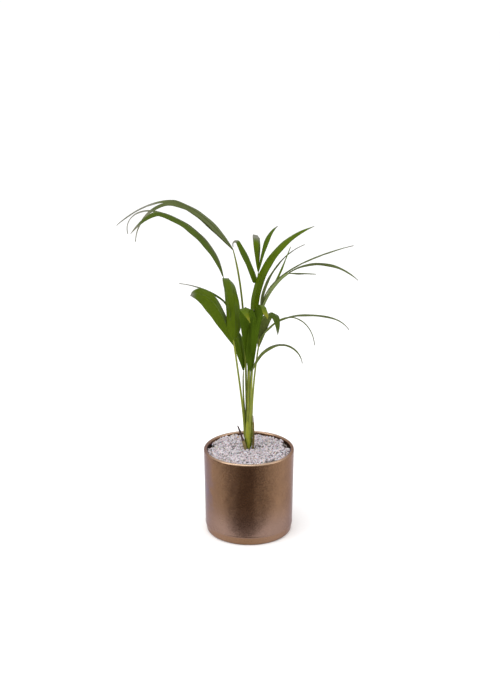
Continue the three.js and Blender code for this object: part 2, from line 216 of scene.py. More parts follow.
def kept(tree, name, kind="FLOAT"):
    """Reads a value that the geometry keeps under a name."""
    return field_of(tree, "GeometryNodeInputNamedAttribute", {"Name": name}, "Attribute", data_type=kind)


def joined_vector(tree, x, y, z):
    """A vector from its three parts."""
    return field_of(tree, "ShaderNodeCombineXYZ", {0: x, 1: y, 2: z})


def painted(tree, geometry, finishes):
    """Ends a tree: real faces, then each finish on the faces that its selection picks."""
    geometry = made(tree, "RealizeInstances", Geometry=geometry)
    for material, selection in finishes:
        chosen = {} if selection is None else {"Selection": selection}
        geometry = made(tree, "SetMaterial", Geometry=geometry, Material=material, **chosen)
    end = tree.nodes.new("NodeGroupOutput")
    tree.links.new(geometry, end.inputs["Geometry"])


def grown(name, tree, mesh, **values):
    """Runs a tree on a mesh and keeps what it makes as a plain mesh, at the origin."""
    carrier = bpy.data.objects.new(name + "_start", mesh)
    bpy.context.scene.collection.objects.link(carrier)
    modifier = carrier.modifiers.new("grow", "NODES")
    modifier.node_group = tree
    for item in tree.interface.items_tree:
        if item.in_out == "INPUT" and item.name in values:
            modifier[item.identifier] = values[item.name]
    graph = bpy.context.evaluated_depsgraph_get()
    result = bpy.data.meshes.new_from_object(
        carrier.evaluated_get(graph), preserve_all_data_layers=True, depsgraph=graph)
    bpy.data.objects.remove(carrier)
    result.name = name
    piece = bpy.data.objects.new(name, result)
    bpy.context.scene.collection.objects.link(piece)
    return piece


def line_mesh(name, lines):
    """A mesh of plain lines. Each line is a dict of arrays by name, one row for each point of the line."""
    mesh = bpy.data.meshes.new(name)
    points = np.concatenate([line["spine"] for line in lines])
    edges = []
    first = 0
    for line in lines:
        count = len(line["spine"])
        edges += [(first + i, first + i + 1) for i in range(count - 1)]
        first += count
    mesh.from_pydata([tuple(p) for p in points], edges, [])
    for key in lines[0]:
        values = np.concatenate([line[key] for line in lines]).astype(np.float32)
        kind, part = ("FLOAT_VECTOR", "vector") if values.ndim == 2 else ("FLOAT", "value")
        mesh.attributes.new(key, kind, "POINT").data.foreach_set(part, values.ravel())
    return mesh


def pot_profile(box):
    """Radius and height of the cup's section, from the centre of its foot round to its inside floor."""
    height = box[1].z
    rim = box[1].x
    foot = rim - POT_FOOT_IN
    crease = [rim - POT_CREASE_IN, POT_CREASE_HEIGHT]
    lip = POT_WALL / 2
    quarter = np.linspace(-math.pi / 2, 0, ARC_STEPS)
    half = np.linspace(0, math.pi, 2 * ARC_STEPS)
    foot_edge = np.column_stack([
        foot - POT_FOOT_ROUND * (1 - np.cos(quarter)), POT_FOOT_ROUND * (1 + np.sin(quarter))])
    top_edge = np.column_stack([rim - lip * (1 - np.cos(half)), height - lip + lip * np.sin(half)])
    band = np.linspace(foot_edge[-1], crease, BAND_STEPS + 2)[1:-1]
    rise = np.linspace(0, 1, WALL_STEPS) ** 1.6
    outside = crease + np.outer(rise, top_edge[0] - crease)[:-1]
    above = (outside[:, 1] - POT_CREASE_HEIGHT) / POT_BEAD_WIDTH
    outside[:, 0] += POT_BEAD * np.exp(-(above - 1) ** 2)
    inside = np.linspace(top_edge[-1], [rim - POT_WALL, POT_FLOOR], BAND_STEPS)[1:]
    return np.concatenate([[[0, 0]], foot_edge, band, outside, top_edge, inside, [[0, POT_FLOOR]]])


def angle_ring(tree, sides):
    """A circle whose points keep their angle."""
    circle = made(tree, "CurvePrimitiveCircle", "Curve", Resolution=sides)
    index = field_of(tree, "GeometryNodeInputIndex")
    return stored(tree, circle, "angle", index / sides * (2 * math.pi))


def lathe_tree(material):
    """Turns a line of radius and height round the upright axis, wavering a little in radius."""
    tree, profile, inputs = new_tree("lathe", Sides=POT_SIDES, Waver=POT_WAVER)
    section = made(tree, "MeshToCurve", "Curve", Mesh=profile)
    ring = angle_ring(tree, inputs["Sides"])
    shell = made(tree, "CurveToMesh", "Mesh", Curve=ring, Profile_Curve=section)
    angle = kept(tree, "angle")
    radius = kept(tree, "out")
    waver = (angle * 3.0 + 0.6).sine() * inputs["Waver"] * radius / WAVER_RADIUS
    position = joined_vector(
        tree, (radius - waver) * angle.cosine(), (radius - waver) * angle.sine(), kept(tree, "height"))
    shell = made(tree, "SetPosition", Geometry=shell, Position=position)
    shell = made(tree, "MergeByDistance", Geometry=shell, Distance=1e-6)
    painted(tree, made(tree, "SetShadeSmooth", Geometry=shell), [(material, None)])
    return tree


def new_material(name):
    """A material with its shader and the place of each point on the object."""
    material = bpy.data.materials.new(name)
    material.use_nodes = True
    tree = material.node_tree
    shader = next(n for n in tree.nodes if n.type == "BSDF_PRINCIPLED")
    return material, tree, shader, put(tree, "ShaderNodeTexCoord").outputs["Object"]


def finish(tree, shader, values):
    """Sets inputs of the shader itself, each to a constant or to what a node gives."""
    for key, value in values.items():
        plug(tree, shader, key, value)


def noise(tree, place, scale, detail=3.0, roughness=0.5, stretch=(1, 1, 1)):
    """Cloudy noise from 0 to 1, with its pattern drawn out along any axis whose stretch is below 1."""
    where = put(tree, "ShaderNodeMapping", {"Vector": place, "Scale": stretch}).outputs["Vector"]
    return field_of(tree, "ShaderNodeTexNoise", {
        "Vector": where, "Scale": scale, "Detail": detail, "Roughness": roughness})


def blend(tree, share, low, high, steps=(0.35, 0.65)):
    """A colour that goes from low to high as share goes through steps."""
    ramp = put(tree, "ShaderNodeValToRGB", {0: share})
    for element, at, colour in zip(ramp.color_ramp.elements, steps, (low, high)):
        element.position = at
        element.color = colour
    return ramp.outputs["Color"]


def ranged(tree, share, low, high, steps=(0.3, 0.7)):
    """A number that goes from low to high as share goes through steps."""
    return field_of(tree, "ShaderNodeMapRange", {
        "Value": share, "From Min": steps[0], "From Max": steps[1],
        "To Min": low, "To Max": high}, "Result")


def mixed(tree, share, low, high):
    """A colour that goes evenly from low to high."""
    return put(tree, "ShaderNodeMix", {
        "Factor": share, "A": low, "B": high}, data_type="RGBA").outputs["Result"]


def bump(tree, shader, height, distance, strength=1.0):
    """Fine relief from a height between 0 and 1."""
    node = put(tree, "ShaderNodeBump", {"Height": height, "Distance": distance, "Strength": strength})
    plug(tree, shader, "Normal", node.outputs["Normal"])


def glaze_finish():
    """Bronze lustre: soft runs down the wall, clouds and flakes in it, and pale pricks. Painted light on
    it:
    a violet reflection at the left, a pale glow of light above the crease, shade and a dark reflection in
    the front middle of the foot band, and a highlight on the lip at front and back."""
    material, tree, shader, place = new_material("bronze_glaze")
    runs = noise(tree, place, 34, 4.0, 0.55, (1, 1, 0.22))
    clouds = noise(tree, place, 75, 4.0, 0.6)
    grain = noise(tree, place, 1500, 2.0)
    across, depth, height = [field_of(tree, "ShaderNodeSeparateXYZ", {0: place}, axis) for axis in "XYZ"]
    cells = field_of(tree, "ShaderNodeTexVoronoi", {
        "Vector": place, "Scale": 170.0, "Randomness": 1.0}, "Distance")
    prick = (cells + noise(tree, place, 60, 2.0).below(0.62)).below(0.06)
    # Painted reflection: a violet tint at the left of the wall, standing in for a cool reflection there.
    painted_violet_reflection = ranged(tree, across + (clouds - 0.5) * 0.02, 0.85, 0.0, VIOLET_REFLECTION_EDGE)
    painted_violet_reflection = painted_violet_reflection * (height - VIOLET_REFLECTION_HEIGHT).bell(45 * MM)
    # Painted light: a pale greyish glow low on the wall, above the crease.
    painted_foot_light = (height - FOOT_LIGHT_HEIGHT).bell(25 * MM) * 0.7
    # Painted shade: the front middle of the foot band goes darker, to the wall's bronze, standing in for
    # crease shade and a dark reflection.
    middle = (across + 4 * MM).bell(34 * MM) * depth.below(0.0)
    band = mixed(tree, middle * 0.95, GLAZE_BAND, GLAZE_BRONZE)
    # Painted highlight: the lip is paler at front and back, where it catches the light.
    highlight_front_back = depth * 18.0
    lip = ranged(tree, height, 0.0, 0.8, LIP_HIGHLIGHT_EDGE) * highlight_front_back * highlight_front_back
    colour = blend(tree, runs * 0.5 + clouds * 0.35 + grain * 0.15, GLAZE_BROWN, GLAZE_BRONZE, (0.38, 0.62))
    for share, other in ((painted_violet_reflection, VIOLET_REFLECTION_PAINT), (painted_foot_light, FOOT_LIGHT_PAINT),
                         (ranged(tree, height, 1.0, 0.0, BAND_EDGE), band),
                         (lip, LIP_HIGHLIGHT_PAINT), (prick * 0.45, GLAZE_PALE)):
        colour = mixed(tree, share, colour, other)
    finish(tree, shader, {
        "Base Color": colour, "Metallic": 0.92, "Specular Tint": GLAZE_EDGE, "Coat Weight": 0.12,
        "Coat Roughness": 0.10, "Roughness": ranged(tree, grain * 0.6 + clouds * 0.4, 0.20, 0.32)})
    bump(tree, shader, runs + clouds * 0.5 + grain * 0.05 + prick * 0.2, 0.25 * MM, 0.4)
    return material


profile = pot_profile(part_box("pot"))
profile_mesh = line_mesh("pot_profile", [{
    "spine": np.column_stack([profile[:, 0], profile[:, 0] * 0, profile[:, 1]]),
    "out": profile[:, 0],
    "height": profile[:, 1],
}])
pot = grown("glazed_pot", lathe_tree(glaze_finish()), profile_mesh)
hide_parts("pot")
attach(pot, "root")


# Soil. Dark peaty compost fills the pot to just below the lip, and its crumbs show inside the rim
# wherever the gravel stops short of the wall. The flat bed stays as the model has it.
CRUMB_KINDS = 5
CRUMB_SIZE = 2.6 * MM
SOIL_DARK = (0.012, 0.008, 0.006, 1)
SOIL_BROWN = (0.045, 0.028, 0.018, 1)
# Where the gravel is thin: the place of each spot's middle and its reach both ways, in mm.
BARE_SPOTS = [(-50, 11, 5, 8), (49, 18, 5, 16), (33, -42, 13, 6), (-18, 54, 8, 5), (13, 8, 5, 3)]


def soil_finish():
    """Damp peat: near-black with browner fibres."""
    material, tree, shader, place = new_material("potting_soil")
    clods = noise(tree, place, 420, 5.0, 0.65)
    finish(tree, shader, {"Base Color": blend(tree, clods, SOIL_DARK, SOIL_BROWN),
                          "Roughness": 0.95, "Specular IOR Level": 0.2})
    bump(tree, shader, clods, 0.8 * MM)
    return material


def lumps(name, kinds, corners, flatness, seed):
    """A collection of angular lumps of unit size, each the hull of a few points set in its own sphere."""
    random = np.random.default_rng(seed)
    collection = bpy.data.collections.new(name)
    for kind in range(kinds):
        shape = bmesh.new()
        for direction in random.normal(size=(corners, 3)):
            reach = random.uniform(0.78, 1.0) / np.linalg.norm(direction)
            shape.verts.new(Vector(direction * reach * [0.5, 0.5 * random.uniform(0.7, 1), 0.5 * flatness]))
        bmesh.ops.convex_hull(shape, input=shape.verts)
        bmesh.ops.delete(shape, geom=[v for v in shape.verts if not v.link_faces], context="VERTS")
        bmesh.ops.recalc_face_normals(shape, faces=shape.faces)
        mesh = bpy.data.meshes.new(f"{name}_{kind}")
        shape.to_mesh(mesh)
        shape.free()
        collection.objects.link(bpy.data.objects.new(f"{name}_{kind}", mesh))
    return collection


def chance(tree, low, high, seed):
    """An even random number for each lump."""
    return field_of(tree, "FunctionNodeRandomValue", {2: low, 3: high, "Seed": seed}, 1, data_type="FLOAT")


def scatter_tree(name, collection, finishes):
    """Strews lumps over the upper faces of a mesh above Floor, apart from each other by Gap, but not in the
    bare spots. Where Fills is 1 they lie only in the spots, and past the inner radius."""
    tree, surface, given = new_tree(name, Gap=2.4 * MM, Size=4 * MM, Spread=0.3, Lift=0.0, Floor=0.1,
                                    Inner=0.0, Fills=0.0, Seed=1)
    seed = given["Seed"]
    surface = made(tree, "MergeByDistance", Geometry=surface, Distance=1e-6)
    position = field_of(tree, "GeometryNodeInputPosition")
    normal = field_of(tree, "GeometryNodeInputNormal")
    up, upright = [field_of(tree, "ShaderNodeSeparateXYZ", {0: way}, "Z") for way in (normal, position)]
    points = put(tree, "GeometryNodeDistributePointsOnFaces", {
        "Mesh": surface, "Selection": up.above(0.2), "Distance Min": given["Gap"],
        "Density Max": 600000.0, "Seed": seed}, distribute_method="POISSON").outputs["Points"]
    flat = position.times((1, 1, 0))
    radius = flat.length()
    bare = radius * 0.0
    for x, y, reach, depth in BARE_SPOTS:
        away = flat - (x * MM, y * MM, 0)
        bare = bare + away.times((1 / (reach * MM), 1 / (depth * MM), 0)).length().below(1.0)
    filled = (bare + radius.above(given["Inner"])).above(0.5)
    wanted = filled * given["Fills"] + bare.below(0.5) * (given["Fills"] * -1.0 + 1.0)
    chosen = put(tree, "GeometryNodeCollectionInfo", {
        "Collection": collection, "Separate Children": True, "Reset Children": True}).outputs["Instances"]
    spin = put(tree, "FunctionNodeRandomValue", {
        0: (-3.14, -3.14, -3.14), 1: (3.14, 3.14, 3.14), "Seed": seed + 1},
        data_type="FLOAT_VECTOR").outputs[0]
    scale = (chance(tree, -1.0, 1.0, seed + 2) * given["Spread"] + 1.0) * given["Size"]
    laid = made(tree, "InstanceOnPoints", "Instances", Points=points, Instance=chosen, Pick_Instance=True,
                Selection=wanted * upright.above(given["Floor"]), Rotation=spin, Scale=scale)
    laid = stored(tree, laid, "tint", chance(tree, 0.0, 1.0, seed + 3), domain="INSTANCE")
    laid = made(tree, "TranslateInstances", "Instances", Instances=laid, Local_Space=False,
                Translation=joined_vector(tree, 0.0, 0.0, given["Lift"]))
    tint = kept(tree, "tint")
    painted(tree, laid, [(m, None if low is None else tint.above(low)) for m, low in finishes])
    return tree


peat = soil_finish()
soil = frame["nodes"]["soil"]
soil.data.materials.clear()
soil.data.materials.append(peat)

bed = frame["nodes"]["gravel"]
crumb_shapes = lumps("crumb", CRUMB_KINDS, 9, 0.75, 11)
crumbs = grown("soil_crumbs", scatter_tree("strew_crumbs", crumb_shapes, [(peat, None)]), bed.data,
               Gap=1.4 * MM, Size=CRUMB_SIZE, Spread=0.45, Lift=-0.2 * MM, Inner=51.5 * MM,
               Fills=1.0, Floor=0.106, Seed=21)
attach(crumbs, "root")


# Gravel. A thick dressing of crushed white marble, chips of 3 to 8 mm tipped on by hand and banked up
# against the wall nearly to the lip, thin in a few places. A few chips are cream, and fewer still tan.
CHIP_KINDS = 9
CHIP_SIZE = 6.2 * MM
CHIP_GAP = 2.5 * MM
BANK_RINGS = [(106.5 * MM, 50.5 * MM), (111 * MM, 51 * MM)]
BANK_OUTER = 54.3 * MM
BANK_SPOKES = 96
MARBLE_WHITE = (0.60, 0.55, 0.58, 1)
MARBLE_GREY = (0.52, 0.475, 0.505, 1)
MARBLE_CREAM = (0.57, 0.51, 0.47, 1)
MARBLE_TAN = (0.40, 0.285, 0.20, 1)
# The dark end stands for peat and for painted shade in the gaps between chips.
GRIT_DARK_AND_GAP_SHADE = (0.12, 0.10, 0.09, 1)
GRIT_PALE = (0.40, 0.36, 0.37, 1)


def marble_finish(name, colour):
    """Crushed marble: sugary, faintly veined and darker in cloudy patches."""
    material, tree, shader, place = new_material(name)
    grains = noise(tree, place, 900, 4.0, 0.6)
    veins = noise(tree, place, 170, 3.0, 0.6)
    darker = tuple(0.78 * c for c in colour[:3]) + (1,)
    finish(tree, shader, {
        "Base Color": blend(tree, veins, darker, colour, (0.3, 0.55)), "Roughness": 0.62,
        "Subsurface Weight": 0.12, "Subsurface Scale": 1.2 * MM})
    bump(tree, shader, grains, 0.25 * MM, 0.6)
    return material


def grit_finish():
    """What lies between and under the chips: peat with stone dust, its dark end also painted shade in the
    gaps between chips.
    """
    material, tree, shader, place = new_material("gravel_bed")
    grains = noise(tree, place, 650, 5.0, 0.7)
    finish(tree, shader, {
        "Base Color": blend(tree, grains, GRIT_DARK_AND_GAP_SHADE, GRIT_PALE, (0.4, 0.75)), "Roughness": 0.95})
    bump(tree, shader, grains, 1.0 * MM)
    return material


def bank_mesh():
    """Flat rings along the wall, by height and inner radius, that the chips of the bank lie on."""
    corners = []
    faces = []
    for height, radius in BANK_RINGS:
        first = len(corners)
        for spoke in range(BANK_SPOKES):
            turn = 2 * math.pi * spoke / BANK_SPOKES
            for reach in (radius, BANK_OUTER):
                corners.append((reach * math.cos(turn), reach * math.sin(turn), height))
            here = first + 2 * spoke
            there = first + 2 * ((spoke + 1) % BANK_SPOKES)
            faces.append((here, here + 1, there + 1, there))
    mesh = bpy.data.meshes.new("bank")
    mesh.from_pydata(corners, [], faces)
    return mesh


bed.data.materials.clear()
bed.data.materials.append(grit_finish())
chip_shapes = lumps("chip", CHIP_KINDS, 13, 0.72, 5)
strew_chips = scatter_tree("strew_chips", chip_shapes, [
    (marble_finish("marble_white", MARBLE_WHITE), None),
    (marble_finish("marble_grey", MARBLE_GREY), 0.68),
    (marble_finish("marble_cream", MARBLE_CREAM), 0.93),
    (marble_finish("marble_tan", MARBLE_TAN), 0.99),
])
bank = grown("gravel_bank", strew_chips, bank_mesh(), Gap=CHIP_GAP * 0.9, Size=CHIP_SIZE * 0.85,
             Spread=0.3, Lift=0.0, Floor=0.105, Seed=37)
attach(bank, "root")
chips = grown("gravel_chips", strew_chips, bed.data, Gap=CHIP_GAP, Size=CHIP_SIZE, Spread=0.34,
              Lift=0.2 * MM, Floor=0.107, Seed=31)
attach(chips, "root")
for collection in (crumb_shapes, chip_shapes):
    for shape in list(collection.objects):
        bpy.data.objects.remove(shape)
    bpy.data.collections.remove(collection)


# Stems. Each seedling stands on a slender cane wrapped in the tight green sheaths of its leaves, which
# narrows to a point in the gravel and opens at the top where the leafstalks part.
STEM_TOP = 138 * MM
STEM_STEPS = 25
MOUTH = 15 * MM
MOUTH_STEPS = 11
STEMS = [
    {"name": "left", "foot": (-3.0, 6.8), "top": (-4.0, 6.5), "radii": (1.7, 2.7), "lean": (-1.5, -0.6)},
    {"name": "front", "foot": (-0.6, 2.4), "top": (-1.1, 0.8), "radii": (0.4, 3.0), "lean": (-0.6, 0.3)},
    {"name": "right", "foot": (1.2, 7.2), "top": (1.9, 6.9), "radii": (1.7, 2.7), "lean": (0.7, 0.2)},
    {"name": "back", "foot": (-1.0, 11.4), "top": (-1.3, 12.0), "radii": (1.9, 2.8), "lean": (0, 0.6)},
]
SHEATH_GREEN = (0.145, 0.175, 0.012, 1)
SHEATH_YELLOW = (0.31, 0.33, 0.030, 1)
SHEATH_OLIVE = (0.070, 0.088, 0.008, 1)
TUBE_SIDES = 20


def tube_tree(name, finishes):
    """Skins lines with a ribbed, slightly flattened tube, with a channel along its upper side."""
    tree, lines, given = new_tree(
        name, Sides=TUBE_SIDES, Ribs=7, Rib=0.03, Channel=0.0, Flat=1.0, Rough=0.04)
    ring = angle_ring(tree, given["Sides"])
    path = made(tree, "MeshToCurve", "Curve", Mesh=lines)
    skin = made(tree, "CurveToMesh", "Mesh", Curve=path, Profile_Curve=ring, Fill_Caps=True)
    angle, along, number = [kept(tree, name) for name in ("angle", "along", "number")]
    spine, side, up = [kept(tree, name, "FLOAT_VECTOR") for name in ("spine", "side", "up")]
    around = joined_vector(tree, angle.cosine() * 1.6, angle.sine() * 1.6, along * 45.0 + number * 7.0)
    uneven = field_of(tree, "ShaderNodeTexNoise", {"Vector": around, "Scale": 1.6}) - 0.5
    ribs = (angle * given["Ribs"] + number).cosine() * given["Rib"]
    channel = (angle.sine() - 1.0).bell(0.22) * given["Channel"]
    radius = kept(tree, "girth") * (ribs - channel + uneven * given["Rough"] * 2.0 + 1.0)
    position = spine + side * (radius * angle.cosine()) + up * (radius * angle.sine() * given["Flat"])
    skin = made(tree, "SetPosition", Geometry=skin, Position=position)
    skin = made(tree, "SetShadeSmooth", Geometry=skin)
    place = joined_vector(tree, angle, along * 1000.0, number)
    painted(tree, stored(tree, skin, "place", place, "FLOAT_VECTOR"), finishes(tree))
    return tree


def sheath_finish(name, low, high, roughness=0.45):
    """Plant skin: fine lines that run with the growth over slow changes between its two colours."""
    material, tree, shader, place = new_material(name)
    where = put(tree, "ShaderNodeAttribute", attribute_name="place").outputs["Vector"]
    lines = noise(tree, where, 6.0, 3.0, 0.6, (1.5, 0.02, 1))
    patches = noise(tree, place, 60, 3.0)
    finish(tree, shader, {
        "Base Color": blend(tree, lines * 0.55 + patches * 0.45, low, high, (0.38, 0.62)),
        "Roughness": roughness, "Specular IOR Level": 0.2,
        "Subsurface Weight": 0.05, "Subsurface Scale": 1.0 * MM})
    bump(tree, shader, lines, 0.15 * MM, 0.5)
    return material


def limb(rows, sections, girth, along, share, number):
    """What a limb's line keeps at each of its points."""
    return {
        "spine": rows[:, :3],
        "side": sections[0],
        "up": sections[1],
        "girth": girth,
        "along": along,
        "share": share,
        "number": np.full(len(rows), float(number)),
    }


def straight_limb(foot, top, girth, number):
    """An upright limb whose radii run evenly from its foot to its top."""
    share = np.linspace(0, 1, len(girth))
    spine = foot + np.outer(share, top - foot)
    sections = [np.outer(np.ones(len(girth)), way) for way in ((1, 0, 0), (0, 1, 0))]
    return limb(spine, sections, girth, share * np.linalg.norm(spine[-1] - spine[0]), share, number)


def stem_line(stem, number):
    """The cane's centre line: the model's stem, which swells to its full radius from a fifth of its height,
    carried on through the mouth of the sheath."""
    foot = np.array([*stem["foot"], 0]) * MM + [0, 0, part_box("stem_" + stem["name"])[0].z]
    top = np.array([*stem["top"], 0]) * MM + [0, 0, STEM_TOP]
    mouth = top + np.array([*stem["lean"], 0]) * MM + [0, 0, MOUTH]
    low, high = (r * MM for r in stem["radii"])
    swelling = np.clip((np.linspace(0, 1, STEM_STEPS) - 0.2) / 0.4, 0, 1) ** 0.7
    lower = straight_limb(foot, top, low + (high - low) * swelling, number)
    upper = straight_limb(top, mouth, high * (1 - 0.5 * np.linspace(0, 1, MOUTH_STEPS) ** 1.5), number)
    upper["along"] = upper["along"] + lower["along"][-1]
    upper["share"] = upper["share"] + 1
    return {key: np.concatenate([lower[key], upper[key][1:]]) for key in lower}


sheath_green = sheath_finish("sheath_green", SHEATH_OLIVE, SHEATH_GREEN)
sheath_yellow = sheath_finish("sheath_yellow", SHEATH_GREEN, SHEATH_YELLOW)
for number, stem in enumerate(STEMS):
    skin = sheath_yellow if stem["name"] == "front" else sheath_green
    tree = tube_tree("stem_skin", lambda tree: [(skin, None)])
    cane = grown("cane_" + stem["name"], tree, line_mesh("stem_line", [stem_line(stem, number)]),
                 Ribs=5, Rib=0.035, Rough=0.1)
    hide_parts("stem_" + stem["name"])
    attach(cane, "root")


# Leafstalks. Each frond rises on one slim yellow-green stalk, channelled along its upper side, that
# sheathes the cane at its foot and thins on through the frond as the rib that the leaves grow from.
STALK_RADIUS = 1.7 * MM
STALK_TIP_RADIUS = 1.0 * MM
STALK_SINK = 9 * MM
STALK_FLARE = 0.75 * MM
FLARE_REACH = 34 * MM
STALK_STEP = 3 * MM
CLEAR = 0.3 * MM
BEND_STEPS = 96
# A bend sets out along its heading at its rise above level and bends to its fall, late where its ease is
# high. A tip carries on from there. Lengths, widths and radii are in mm and angles in degrees.
Bend = namedtuple("Bend", "length rise fall ease heading turn")
Tip = namedtuple("Tip", "length fall ease turn")
# A leaf grows at a share of its stalk. Its rolls are those at root and end, its peak is where it is widest,
# its taper is low where it narrows early, and past the share where it is dry it has its end's colour.
Leaf = namedtuple("Leaf", "name at width rolls peak taper tone dry end bend tip", defaults=[None])
FRONDS = [
    {"name": "top_left", "foot": (-2.7, 11.0), "stalk_tone": "green", "rib_radius": 1.4,
     "stalk": Bend(250, 89, 73, 3.2, 212, 2), "leaves": [
         Leaf("long", 1, 13, (-55, 20), 0.25, 1, "grey", 0.66, "grey",
              Bend(99, 55, 14, 1.7, 198, -34), Tip(94, -40, 0.4, -15)),
         Leaf("hooked", 1, 12, (-5, -20), 0.25, 2.4, "grey", 0.76, "olive",
              Bend(99, 51, 12, 2.5, 197, -11), Tip(78, -85, 0.7, -28)),
     ]},
    {"name": "left", "foot": (-5.4, 6.2), "stalk_tone": "yellow", "leafy_from": 0.6,
     "stalk": Bend(220, 86, 79, 0.4, 216, 4), "leaves": [
         Leaf("inner", 1, 10, (-50, 0), 0.2, 1, "grey", 0.76, "grey",
              Bend(121, 78, 16, 1.0, 191, -4), Tip(59, -107, 1.4, -11)),
         Leaf("outer", 1, 15, (-30, -30), 0.4, 1.3, "dull_backed", 0.93, "olive",
              Bend(127, 71, 16, 1.2, 203, 3), Tip(44, -50, 0.4, 1)),
         Leaf("broad", 0.56, 25, (-70, -75), 0.6, 2, "fresh", 0.96, "grey",
              Bend(113, 68, -11, 2.9, 203, 26)),
         Leaf("folded", 0.57, 20, (0, 35), 0.2, 2.8, "fresh", 0.985, "brown",
              Bend(91, 105, 17, 1.5, 109, -8), Tip(49, -102, 1.0, -4)),
     ]},
    {"name": "low_left", "foot": (-2.6, 7.0), "stalk_tone": "green",
     "stalk": Bend(84, 81, 93, 1.2, 156, -10), "leaves": [
         Leaf("side", 1, 7, (5, 20), 0.65, 1.5, "deep", 0.86, "grey",
              Bend(94, 87, 52, 1.9, 159, 2), Tip(70, 0, 0.5, -1)),
         Leaf("rear", 1, 15.5, (-10, -5), 0.35, 2, "deep", 0.985, "grey",
              Bend(112, 84, -49, 1.2, 116, -2)),
     ]},
    {"name": "front", "foot": (-2.5, 1.6), "stalk_tone": "yellow",
     "stalk": Bend(146, 95, 62, 3.6, 242, 3), "leaves": [
         Leaf("drooping", 0.56, 21, (20, -5), 0.6, 1.6, "fresh", 0.955, "brown",
              Bend(118, 79, 8, 4.0, 270, -9), Tip(27, -82, 1.0, 70)),
         Leaf("upright", 0.56, 13, (0, 0), 0.4, 2, "deep", 0.99, "grey",
              Bend(96, 81, 70, 1.3, 284, 3)),
     ]},
    {"name": "centre", "foot": (0.1, 11.0), "stalk_tone": "green",
     "stalk": Bend(212, 84, 78, 2.1, 65, 1), "leaves": [
         Leaf("right", 0.64, 12, (45, 15), 0.25, 3.5, "fresh", 0.985, "grey",
              Bend(173, 96, 9, 1.2, 27, -5)),
         Leaf("left", 0.93, 14.5, (-15, -10), 0.05, 4, "deep", 0.84, "grey",
              Bend(59, 74, 57, 0.9, 170, -9), Tip(16, -120, 0.8, 0)),
         Leaf("rear", 1, 11.3, (40, 25), 0.4, 2.5, "fresh", 0.46, "grey",
              Bend(56, 80, -15, 3.0, 93, 0), Tip(41, -79, 0.7, 6)),
         Leaf("short", 1, 8.5, (-15, 5), 0.6, 1.5, "deep", 0.93, "grey",
              Bend(70, 74, 6, 2.6, 46, 1)),
     ]},
    {"name": "right", "foot": (0.6, 7.7), "stalk_tone": "pale", "rib_radius": 2.8,
     "stalk": Bend(226, 88, 28, 3.9, 30, -16), "leaves": [
         Leaf("low", 1, 6.5, (20, 15), 0.5, 1.5, "grey", 0.97, "grey",
              Bend(101, 40, -43, 1.0, -15, -4)),
         Leaf("stub", 1, 5, (5, -10), 0.5, 2, "grey", 0.985, "grey",
              Bend(50, 14, 7, 0.5, -48, 3)),
         Leaf("long", 0.76, 5.5, (-5, -25), 0.75, 1, "grey", 0.93, "grey",
              Bend(156, 106, 3, 0.4, -32, 66)),
         Leaf("rear", 0.74, 4.5, (25, -35), 0.2, 1, "grey", 0.8, "grey",
              Bend(119, 111, 8, 0.5, 50, -9)),
         Leaf("upright", 0.88, 5, (-5, -25), 0.2, 1, "fresh", 0.985, "grey",
              Bend(59, 53, 63, 2.3, 48, -7)),
     ]},
    {"name": "low_right", "foot": (3.2, 6.0), "stalk_tone": "yellow",
     "stalk": Bend(133, 90, 78, 0.9, -39, -3), "leaves": [
         Leaf("curled", 0.9, 14.5, (-40, 15), 0.35, 2, "dull_backed", 0.97, "grey",
              Bend(106, 82, -117, 2.2, -35, -51)),
         Leaf("long", 1, 9, (-10, -15), 0.62, 1.5, "grey", 0.95, "grey",
              Bend(75, 61, 1, 0.9, -13, 1), Tip(58, -58, 2.1, 0)),
         Leaf("slim", 1, 4.5, (-15, -45), 0.2, 1, "grey", 0.93, "grey",
              Bend(120, 51, -86, 1.9, -36, -14)),
     ]},
    {"name": "low", "foot": (0.3, 0.0), "stalk_tone": "yellow",
     "stalk": Bend(88, 84, 87, 1.2, -56, -7), "leaves": [
         Leaf("arching", 1, 10, (-5, -25), 0.45, 1.5, "grey", 0.95, "grey",
              Bend(68, 70, 11, 1.3, -39, 2), Tip(43, -84, 1.3, 1)),
         Leaf("drooping", 1, 14, (-15, -50), 0.9, 3, "fresh", 0.955, "brown",
              Bend(137, 85, -66, 3.4, -41, -43)),
     ]},
    {"name": "rear", "foot": (-1.3, 13.7), "stalk_tone": "green",
     "stalk": Bend(112, 90, 72, 1.0, 88, 0), "leaves": [
         Leaf("left", 1, 14, (-10, -10), 0.4, 2, "fresh", 0.98, "grey",
              Bend(130, 48, -70, 1.2, 92, 4)),
         Leaf("right", 1, 14, (10, 10), 0.4, 2, "deep", 0.98, "grey",
              Bend(112, 48, -75, 1.2, 80, -4)),
     ]},
]
STALK_TONES = {
    "green": ((0.090, 0.115, 0.010, 1), (0.18, 0.21, 0.024, 1)),
    "yellow": ((0.12, 0.145, 0.014, 1), (0.25, 0.275, 0.035, 1)),
    "pale": ((0.12, 0.155, 0.045, 1), (0.20, 0.245, 0.085, 1)),
    "leafy": ((0.050, 0.082, 0.002, 1), (0.076, 0.118, 0.004, 1)),
}


def direction(elevation, heading):
    """The unit vector at an elevation above level, and a heading where 0 is +X and 90 is +Y, in degrees."""
    up, round_ = math.radians(elevation), math.radians(heading)
    return np.array([math.cos(up) * math.cos(round_), math.cos(up) * math.sin(round_), math.sin(up)])


